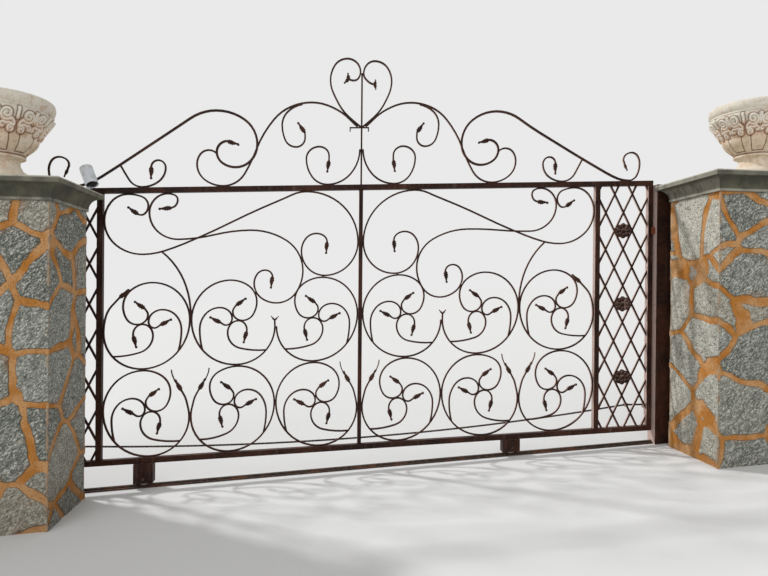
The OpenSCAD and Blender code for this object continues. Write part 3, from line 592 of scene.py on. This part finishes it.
scatter_tree, scatter_in = new_tree("set_in_place", [("Pattern", "Object"), ("Size", "Float"),
                                                     ("Material", "Material")])
size_here = scatter_in["Size"]*scatter_in["Size"].node(
    "GeometryNodeInputNamedAttribute", {"data_type": "FLOAT"}, {"Name": "size"}, "Attribute")
turn_here = size_here.node("GeometryNodeInputNamedAttribute", {"data_type": "FLOAT_VECTOR"},
                           {"Name": "turn"}, "Attribute")
turn_here = turn_here.node("FunctionNodeEulerToRotation", {}, {0: turn_here})
model = size_here.node("GeometryNodeObjectInfo", {}, {"Object": scatter_in["Pattern"]}, "Geometry")
dots = model.node("GeometryNodeMeshToPoints", {}, {"Mesh": scatter_in["Geometry"]})
copies = model.node("GeometryNodeInstanceOnPoints", {},
                    {"Points": dots, "Instance": model, "Rotation": turn_here, "Scale": size_here})
close_tree(copies, scatter_in["Material"])


def set_in_place(name, pattern, places, material, body, smooth=False):
    """A copy of the pattern at each place (x, y, z, Euler turn, size), as one piece"""
    base = bpy.data.meshes.new(name)
    base.from_pydata([p[0] for p in places], [], [])
    turns = np.array([p[1] for p in places], float).ravel()
    base.attributes.new("turn", "FLOAT_VECTOR", "POINT").data.foreach_set("vector", turns)
    base.attributes.new("size", "FLOAT", "POINT").data.foreach_set("value", [p[2] for p in places])
    model = add_object(name + "_pattern", pattern)
    piece = grow(name, base, scatter_tree, {"Pattern": model, "Size": 1.0, "Material": material},
                 body, smooth)
    bpy.data.objects.remove(model)
    return piece


shape = bmesh.new()
bmesh.ops.create_cone(shape, cap_ends=True, segments=6, radius1=SCREW_R,
                      radius2=SCREW_R*SCREW_TAPER, depth=SCREW_HEAD)
screw_head = as_mesh("screw_head", shape)
lean = -math.atan(TRACK_SLOPE)
middle_y = (track_low.y + track_high.y)/2
count = int((track_high.x - track_low.x - 2*SCREW_FROM_END)/SCREW_SPACING) + 1
screws = []
for k in range(count):
    x = track_low.x + SCREW_FROM_END + k*SCREW_SPACING
    z = track_high.z - (track_high.x - x)*TRACK_SLOPE - TRACK_STRIP + SCREW_UP
    turn = (0.0, lean, SCREW_TURN*k)
    screws += [((x, middle_y + side*SCREW_OUT, z), turn, 1.0) for side in (-1, 1)]
screw_steel = worn_steel("screw_steel", lambda at: at.grain(8.0)*0.2)
set_in_place("track_screws", screw_head, screws, screw_steel, "piers")

# Catch post and keeper: the post is a heavy square tube in old brown paint, with painted sunlight
# on its sun side and chalk on top that is partly painted highlight; the keeper is a fork of bare
# rusted plate welded on its side.
PAINT_DARK = "#1b0e0a"
PAINT = "#44271b"
PAINT_CHALK_AND_HIGHLIGHT = "#86706a"
PAINTED_SUNLIGHT_COLOUR = "#bda49a"
RUST = "#7d4729"


def brown_paint(name, chalk_and_highlight, rust, painted_sunlight=0.0):
    """Old brown paint on iron: chalk on top and in streaks that is partly painted highlight,
    painted sunlight on faces toward the sun, and rust that breaks through
    """
    material, at = new_finish(name)
    cloud = at.grain(2.3, 4.0, 0.6)
    mottle = at.grain(36.0, 6.0, 0.65)
    streak = at.stretch(26.0, 26.0, 2.2).grain(1.0, 4.0, 0.6)
    spots = at.grain(75.0, 5.0, 0.7).between(0.60, 0.68)*at.grain(6.0, 3.0).between(0.45, 0.62)
    colour = (cloud*0.6 + mottle*0.4).between(0.36, 0.66).over(tint(PAINT_DARK), tint(PAINT))
    # Chalk on top faces and in streaks, partly real chalking and partly painted highlight
    chalk_and_highlight_mask = (facing_up(at, 0.0, 0.8)*0.6 + streak.between(0.54, 0.74)*0.4)*chalk_and_highlight
    colour = chalk_and_highlight_mask.over(colour, tint(PAINT_CHALK_AND_HIGHLIGHT))
    # Painted sunlight: the faces toward the sun are paler
    colour = (painted_sunlight_side(at)*mottle.between(0.2, 0.45)*painted_sunlight).over(colour, tint(PAINTED_SUNLIGHT_COLOUR))
    colour = (spots*rust).over(colour, tint(RUST))
    rough = 0.52 + chalk_and_highlight_mask*0.25 + spots*0.25
    relief = mottle + at.grain(140.0, 3.0)*0.5 - spots*0.7
    return lay_on(material, colour, rough, relief, 0.0006, gloss=0.14)


dress("catch_post", brown_paint("post_paint", 0.3, 0.6, 1.0))

rusted, at = new_finish("rusted_plate")
scale = at.grain(110.0, 6.0, 0.7)
colour = scale.between(0.35, 0.65).over(tint("#4a2618"), tint("#7f4427"))
colour = (at.grain(40.0).between(0.55, 0.68)*0.6).over(colour, tint("#2c1b15"))
dress("keeper", lay_on(rusted, colour, 0.88, scale, 0.0008))

# Wheels: grooved steel wheels on bolts, each in a welded box below the bottom rail. Their
# grooves are bright from the track.
WHEEL_GROOVE_R = 0.0385
WHEEL_GROOVE = 0.004


def in_groove(node):
    """Where the track polishes a wheel: a ring round the wheel's axle"""
    low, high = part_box(node)
    middle = (low + high)/2

    def bright(at):
        spoke = at.node("ShaderNodeVectorMath", {"operation": "SUBTRACT"},
                        {0: at, 1: tuple(middle)})
        spoke = spoke.stretch(1.0, 0.0, 1.0)
        far = spoke.node("ShaderNodeVectorMath", {"operation": "LENGTH"}, {0: spoke}, "Value")
        beyond = far.between(WHEEL_GROOVE_R + WHEEL_GROOVE, WHEEL_GROOVE_R + 2*WHEEL_GROOVE)
        return (1.0 - beyond)*far.between(WHEEL_GROOVE_R - WHEEL_GROOVE, WHEEL_GROOVE_R)

    return bright


def scuffed(at):
    """Where a bolt's head has lost its rust"""
    return at.grain(50.0).between(0.55, 0.7)*0.5


for side in ("left", "right"):
    dress(side + "_wheel", worn_steel(side + "_wheel_steel", in_groove(side + "_wheel")))
    dress(side + "_axle", worn_steel(side + "_axle_steel", scuffed))
    dress(side + "_wheel_box", brown_paint(side + "_box_paint", 0.5, 1.0))

# Gate frame: square tube, mitred and welded, with plumb stiles between raked rails. The welds
# are small ripples of filler in each corner.
RAKE = 0.042
TUBE = 0.038
WELD_BEADS = 7
BEAD_R = 0.0032
BEAD_OUT = 0.0008
BEAD_IN = 0.0006
BEAD_TURN = 0.4
FRAME = ("top_rail", "bottom_rail", "left_end_stile", "left_inner_stile", "centre_bar",
         "right_inner_stile", "right_end_stile", "chain_brackets")
frame_paint = brown_paint("frame_paint", 0.45, 0.8, 0.85)
for node in FRAME:
    dress(node, frame_paint)

shape = bmesh.new()
bmesh.ops.create_uvsphere(shape, u_segments=8, v_segments=5, radius=BEAD_R)
bead = as_mesh("weld_bead", shape)
beads = []
for node in FRAME[2:-1]:
    low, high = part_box(node)
    for x in (low.x, high.x):
        weld_x = x + math.copysign(BEAD_OUT, x - (low.x + high.x)/2)
        top = high.z + RAKE*(x - high.x) - BEAD_IN
        foot = low.z + RAKE*(x - low.x) + BEAD_IN
        for k in range(WELD_BEADS):
            y = low.y + (high.y - low.y)*(k + 0.5)/WELD_BEADS
            beads += [((weld_x, y, z), (0.0, 0.0, BEAD_TURN*k), 1.0) for z in (top, foot)]
weld_paint = brown_paint("weld_paint", 0.3, 1.2)
set_in_place("frame_welds", bead, beads, weld_paint, "leaf", True)

# Lattice: flat bars laid corner to corner between the stiles, with three cast rosettes of
# eight petals in each panel.
LATTICE_START = 0.263
DIAMOND = 0.283
ROSETTES = 3
ROSETTE = 0.128
ROSETTE_BUTTON = 1.2
PETALS = 8
PETAL_OUT = 0.3*ROSETTE
PETAL_HALF = (0.0215, 0.0095, 0.0165)
lattice_paint = brown_paint("lattice_paint", 0.5, 0.5, 0.9)
for node in ("left_lattice", "right_lattice"):
    dress(node, lattice_paint)

centre_low, centre_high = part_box("centre_bar")
centre = (centre_low + centre_high)/2
rail_low, rail_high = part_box("bottom_rail")
rail_z = (rail_low.z + rail_high.z)/2

shape = bmesh.new()
bmesh.ops.create_uvsphere(shape, u_segments=14, v_segments=8, radius=1.0)
bmesh.ops.scale(shape, vec=PETAL_HALF, verts=shape.verts)
petal = as_mesh("petal", shape)
petals = []
for node in ("left_lattice", "right_lattice"):
    low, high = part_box(node)
    x = (low.x + high.x)/2
    for k in range(ROSETTES):
        z = rail_z + RAKE*(x - centre.x) + LATTICE_START + DIAMOND*(0.5 + 2*k)
        petals.append(((x, centre.y, z), (0.0, 0.0, 0.0), ROSETTE_BUTTON))
        for p in range(PETALS):
            a = 2*math.pi*p/PETALS
            spot = (x + PETAL_OUT*math.cos(a), centre.y, z + PETAL_OUT*math.sin(a))
            petals.append((spot, (0.0, -a, 0.0), 1.0))
# The strong chalk on the petals is mostly painted highlight: pale upper sides and streaks on each
# petal
rosette_paint = brown_paint("rosette_paint", 2.2, 0.8, 0.6)
set_in_place("rosettes", petal, petals, rosette_paint, "leaf", True)

# Scrolls: square bar bent hot into rings, spirals and long sweeps and welded where they meet.
# Every free end is a forged leaf with cut edges and a ball at its tip.
BAY = 1.820
RING_H = 0.618
CENTRE_TUBE = 0.028
RAIL_GAP = 1.900
HEART_TIP = RAIL_GAP + 0.438
bar_paint = brown_paint("bar_paint", 0.35, 0.5, 0.9)
for node in ("left_lower_scrolls", "right_lower_scrolls", "left_upper_scrolls",
             "right_upper_scrolls", "crest_scrolls", "heart"):
    dress(node, bar_paint)

LEAF_LENGTH = 0.084
LEAF_UNDER = [(-0.004, -0.0066), (0.006, -0.0082), (0.015, -0.0150), (0.021, -0.0112),
              (0.030, -0.0152), (0.038, -0.0098), (0.046, -0.0092), (0.054, -0.0066),
              (0.064, -0.0034), (LEAF_LENGTH, -0.0034)]
LEAF_OVER = [(-0.004, 0.0066), (0.004, 0.0096), (0.014, 0.0180), (0.019, 0.0130), (0.028, 0.0204),
             (0.033, 0.0140), (0.042, 0.0190), (0.048, 0.0112), (0.054, 0.0126), (0.062, 0.0080),
             (LEAF_LENGTH, 0.0072)]
LEAF_STATIONS = {0.010, 0.070, 0.077}
LEAF_THICK = (0.0062, 0.0078, 0.0096, 0.0078, 0.0062)
LEAF_TAPER = 0.35
LEAF_BALL = (0.081, 0.0, 0.004)
LEAF_BALL_R = 0.0094
BUD_SHAPE = (1.0, 1.3, 1.7, 1.0)


def forged_leaf():
    """A leaf along +X in the plane of the gate, thick at its cut lobes, with a ball at its tip"""
    t = sorted({x for x, _ in LEAF_UNDER + LEAF_OVER} | LEAF_STATIONS)
    under = np.interp(t, *np.array(LEAF_UNDER).T)
    over = np.interp(t, *np.array(LEAF_OVER).T)
    shape = bmesh.new()
    rings = []
    for x, a, b in zip(t, under, over):
        thin = 1.0 - LEAF_TAPER*max(0.0, x/LEAF_LENGTH)
        level = [a + (b - a)*k/4 for k in range(5)]
        front = [shape.verts.new((x, -y*thin, z)) for y, z in zip(LEAF_THICK, level)]
        back = [shape.verts.new((x, y*thin, z)) for y, z in zip(LEAF_THICK[::-1], level[::-1])]
        rings.append(front + back)
    for one, two in zip(rings[:-1], rings[1:]):
        for k in range(10):
            shape.faces.new((one[k], two[k], two[(k + 1) % 10], one[(k + 1) % 10]))
    shape.faces.new(rings[0])
    shape.faces.new(rings[-1][::-1])
    bmesh.ops.recalc_face_normals(shape, faces=shape.faces)
    bmesh.ops.create_uvsphere(shape, u_segments=12, v_segments=8, radius=LEAF_BALL_R,
                              matrix=Matrix.Translation(LEAF_BALL))
    return as_mesh("forged_leaf", shape)


# A leaf is x, z, the way it points in degrees, the side of its large lobes, and its size. A ring
# is its column, its row, the hand it winds, its tail, and how far its own leaves are raised. The
# heart's leaves differ on its right (1) and its left (-1).
RING_LEAVES = [(0.017, 0.122, 38, -1, 1.0), (-0.090, 0.002, 150, 1, 1.0),
               (0.093, -0.068, -102, -1, 1.0)]
TAIL_LEAVES = {"tendril": [(0.237, 0.150, 117, 1, 1.0)], "long": [(0.187, 0.204, 136, 1, 1.0)],
               "pair": [(0.290, 0.004, 128, 1, 0.45), (0.290, 0.004, 48, -1, 0.45)], "none": []}
RINGS = [(0, 0, 1, "tendril", 0.0), (1, 0, -1, "tendril", 0.022), (2, 0, 1, "tendril", 0.0),
         (0, 1, -1, "long", 0.0), (1, 1, 1, "pair", 0.0), (2, 1, -1, "none", 0.0)]
ring_left = -BAY + TUBE/2
ring_w = (-CENTRE_TUBE/2 - ring_left)/3
crest = RAIL_GAP + TUBE/2
SWEEP_LEAVES = [(-0.245, 1.507, -92, -1, 1.0), (-1.569, 1.733, 142, 1, 1.0),
                (-1.343, 1.775, 184, 1, 1.0), (-0.635, 1.267, -95, -1, 1.0),
                (-0.962, crest + 0.326, -14, -1, 1.0), (-1.483, crest + 0.148, -93, 1, 1.0),
                (-0.412, crest + 0.386, 124, 1, 1.0), (-0.236, crest + 0.180, -96, -1, 1.0),
                (-2.041, crest + 0.134, -116, 1, 0.65)]
HEART_LEAVES = {1: [(-0.101, 0.356, 98, -1, 0.5), (-0.101, 0.356, 224, 1, 0.5)],
                -1: [(-0.097, 0.316, 98, -1, 0.42), (-0.097, 0.316, 258, 1, 0.42)]}
leaves = list(SWEEP_LEAVES)
for i, row, way, tail, lift in RINGS:
    ring_x = ring_left + ring_w*(i + 0.5)
    ring_z = TUBE/2 + RING_H*(row + 0.5)
    raised = [(x, z + lift, turn, lobe, size) for x, z, turn, lobe, size in RING_LEAVES]
    for x, z, turn, lobe, size in raised + TAIL_LEAVES[tail]:
        leaves.append((ring_x + way*x, ring_z + z, turn if way > 0 else 180 - turn, lobe*way, size))


def on_gate(side, x, z, turn, lobe, size):
    """The place of a leaf on the right (1) or, mirrored, on the left (-1) of the middle"""
    turn = turn if side > 0 else 180 - turn
    roll = 0.0 if lobe*side > 0 else math.pi
    x *= side
    return (centre.x + x, centre.y, rail_z + z + RAKE*x), (roll, -math.radians(turn), 0.0), size


leaf_paint = brown_paint("leaf_paint", 0.3, 0.4, 0.6)
places = [on_gate(side, *leaf) for side in (1, -1) for leaf in leaves]
set_in_place("forged_leaves", forged_leaf(), places, leaf_paint, "leaf", True)
bud = forged_leaf()
bud.transform(Matrix.Diagonal(BUD_SHAPE))
places = [on_gate(side, x, HEART_TIP + z, turn, lobe, size)
          for side in (1, -1) for x, z, turn, lobe, size in HEART_LEAVES[side]]
set_in_place("heart_buds", bud, places, leaf_paint, "leaf", True)

# Drive chain: a roller chain that hangs slack behind the gate between the arms on its two end
# stiles, with bright edges on oily plates.
CHAIN_PITCH = 0.0127
CHAIN_LEFT, CHAIN_RIGHT, CHAIN_SAG = 0.135, 0.178, 0.106
PLATE_R, PLATE = 0.0056, 0.0014
OUTER_PLATE_Y, INNER_SHARE = 0.0042, 0.62
ROLLER_R, ROLLER_W = 0.0036, 0.0044
PIN_R, PIN_W = 0.0019, 0.0098
SHORT_STEP = 0.001
chain_low, chain_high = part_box("drive_chain")


def chain_plate(shape, x, y):
    """One plate of a link, with its ends rounded about the two pins"""
    rim = []
    for end in (1, -1):
        for k in range(4):
            a = -math.pi/2 + math.pi*k/3
            rim.append((x + end*(CHAIN_PITCH/2 + PLATE_R*math.cos(a)), end*PLATE_R*math.sin(a)))
    near, far = ([shape.verts.new((px, py, pz)) for px, pz in rim]
                 for py in (y - PLATE/2, y + PLATE/2))
    for k in range(len(rim)):
        j = (k + 1) % len(rim)
        shape.faces.new((near[k], near[j], far[j], far[k]))
    shape.faces.new(near)
    shape.faces.new(far[::-1])


shape = bmesh.new()
for y in (-OUTER_PLATE_Y, OUTER_PLATE_Y):
    chain_plate(shape, 0.0, y)
    chain_plate(shape, CHAIN_PITCH, y*INNER_SHARE)
for x in (-CHAIN_PITCH/2, CHAIN_PITCH/2):
    for r, w in ((ROLLER_R, ROLLER_W), (PIN_R, PIN_W)):
        spin = Matrix.Translation((x, 0.0, 0.0)) @ Matrix.Rotation(math.pi/2, 4, "X")
        bmesh.ops.create_cone(shape, cap_ends=True, segments=6, radius1=r, radius2=r, depth=w,
                              matrix=spin)
bmesh.ops.recalc_face_normals(shape, faces=shape.faces)
link = as_mesh("chain_link", shape)


def chain_z(x):
    """Height of the slack chain at x"""
    t = (x - chain_low.x)/(chain_high.x - chain_low.x)
    return (rail_z + RAKE*(x - centre.x) + CHAIN_LEFT + (CHAIN_RIGHT - CHAIN_LEFT)*t
            - 4*CHAIN_SAG*t*(1 - t))


links = []
x = chain_low.x + CHAIN_PITCH
y = (chain_low.y + chain_high.y)/2
while x < chain_high.x - CHAIN_PITCH:
    lean = math.atan((chain_z(x + SHORT_STEP) - chain_z(x - SHORT_STEP))/(2*SHORT_STEP))
    links.append(((x, y, chain_z(x)), (0.0, -lean, 0.0), 1.0))
    x += 2*CHAIN_PITCH*math.cos(lean)
chain_steel = worn_steel("chain_steel", lambda at: at.grain(90.0).between(0.5, 0.6)*0.3, 0.3)
chain = set_in_place("roller_chain", link, links, chain_steel, "leaf")
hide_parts("drive_chain")

# Stage: a plain pale floor laid to the fall of the track, a sun from behind the left pier with
# a soft fill from the front, and the camera before the left half of the gate.
FLOOR_HALF = 60.0
FLOOR_DOWN = 0.002
IMAGE_W, FOCAL_PX = 768, 577.06
SENSOR = 36.0
EYE = Vector((-3.1125, -3.8306, 1.6844))
YAW, PITCH, ROLL = (math.radians(a) for a in (6.542, 0.179, 0.503))
under = track_low.z - track_low.x*TRACK_SLOPE - FLOOR_DOWN
corners = [(x*FLOOR_HALF, y*FLOOR_HALF, under + TRACK_SLOPE*x*FLOOR_HALF)
           for x, y in ((-1, -1), (1, -1), (1, 1), (-1, 1))]
floor_mesh = bpy.data.meshes.new("floor")
floor_mesh.from_pydata(corners, [], [(0, 1, 2, 3)])
floor = add_object("floor", floor_mesh)
floor_finish, _ = new_finish("pale_floor")
lay_on(floor_finish, tint("#d5d5d4"), 0.95)
floor_mesh.materials.append(floor_finish)

# A lamp is its name, where its light comes from, its strength and its width in degrees.
LAMPS = (("sun", (-0.74, 0.56, 0.78), 2.3, 4.0), ("fill", (-0.35, -0.85, 0.55), 0.75, 50.0))
SKY_STRENGTH = 0.58
BACKDROP_STRENGTH = 0.82
for name, comes_from, strength, width in LAMPS:
    lamp = bpy.data.lights.new(name, "SUN")
    lamp.energy = strength
    lamp.angle = math.radians(width)
    holder = add_object(name, lamp)
    holder.rotation_euler = Vector(comes_from).to_track_quat("Z", "Y").to_euler()

world = bpy.data.worlds.new("studio")
world.use_nodes = True
bpy.context.scene.world = world
sky = world.node_tree.nodes["Background"]
ray = Wire(world.node_tree)
seen = ray.node("ShaderNodeLightPath", out="Is Camera Ray")
for kind in ("Is Glossy Ray", "Is Transmission Ray"):
    seen = seen.math("MAXIMUM", seen, ray.node("ShaderNodeLightPath", out=kind))
ray.feed(sky.inputs["Color"], (1.0, 1.0, 1.0))
ray.feed(sky.inputs["Strength"], seen*(BACKDROP_STRENGTH - SKY_STRENGTH) + SKY_STRENGTH)

lens_data = bpy.data.cameras.new("camera")
lens_data.sensor_fit = "HORIZONTAL"
lens_data.sensor_width = SENSOR
lens_data.lens = SENSOR*FOCAL_PX/IMAGE_W
lens_data.clip_end = 5*FLOOR_HALF
eye = add_object("camera", lens_data)
ahead = Vector((math.sin(YAW)*math.cos(PITCH), math.cos(YAW)*math.cos(PITCH), -math.sin(PITCH)))
right = Vector((math.cos(YAW), -math.sin(YAW), 0.0))
above = right.cross(ahead)
across = right*math.cos(ROLL) + above*math.sin(ROLL)
above = above*math.cos(ROLL) - right*math.sin(ROLL)
eye.matrix_world = Matrix.Translation(EYE) @ Matrix((across, above, -ahead)).transposed().to_4x4()
bpy.context.scene.camera = eye
bpy.context.scene.view_settings.view_transform = "Standard"
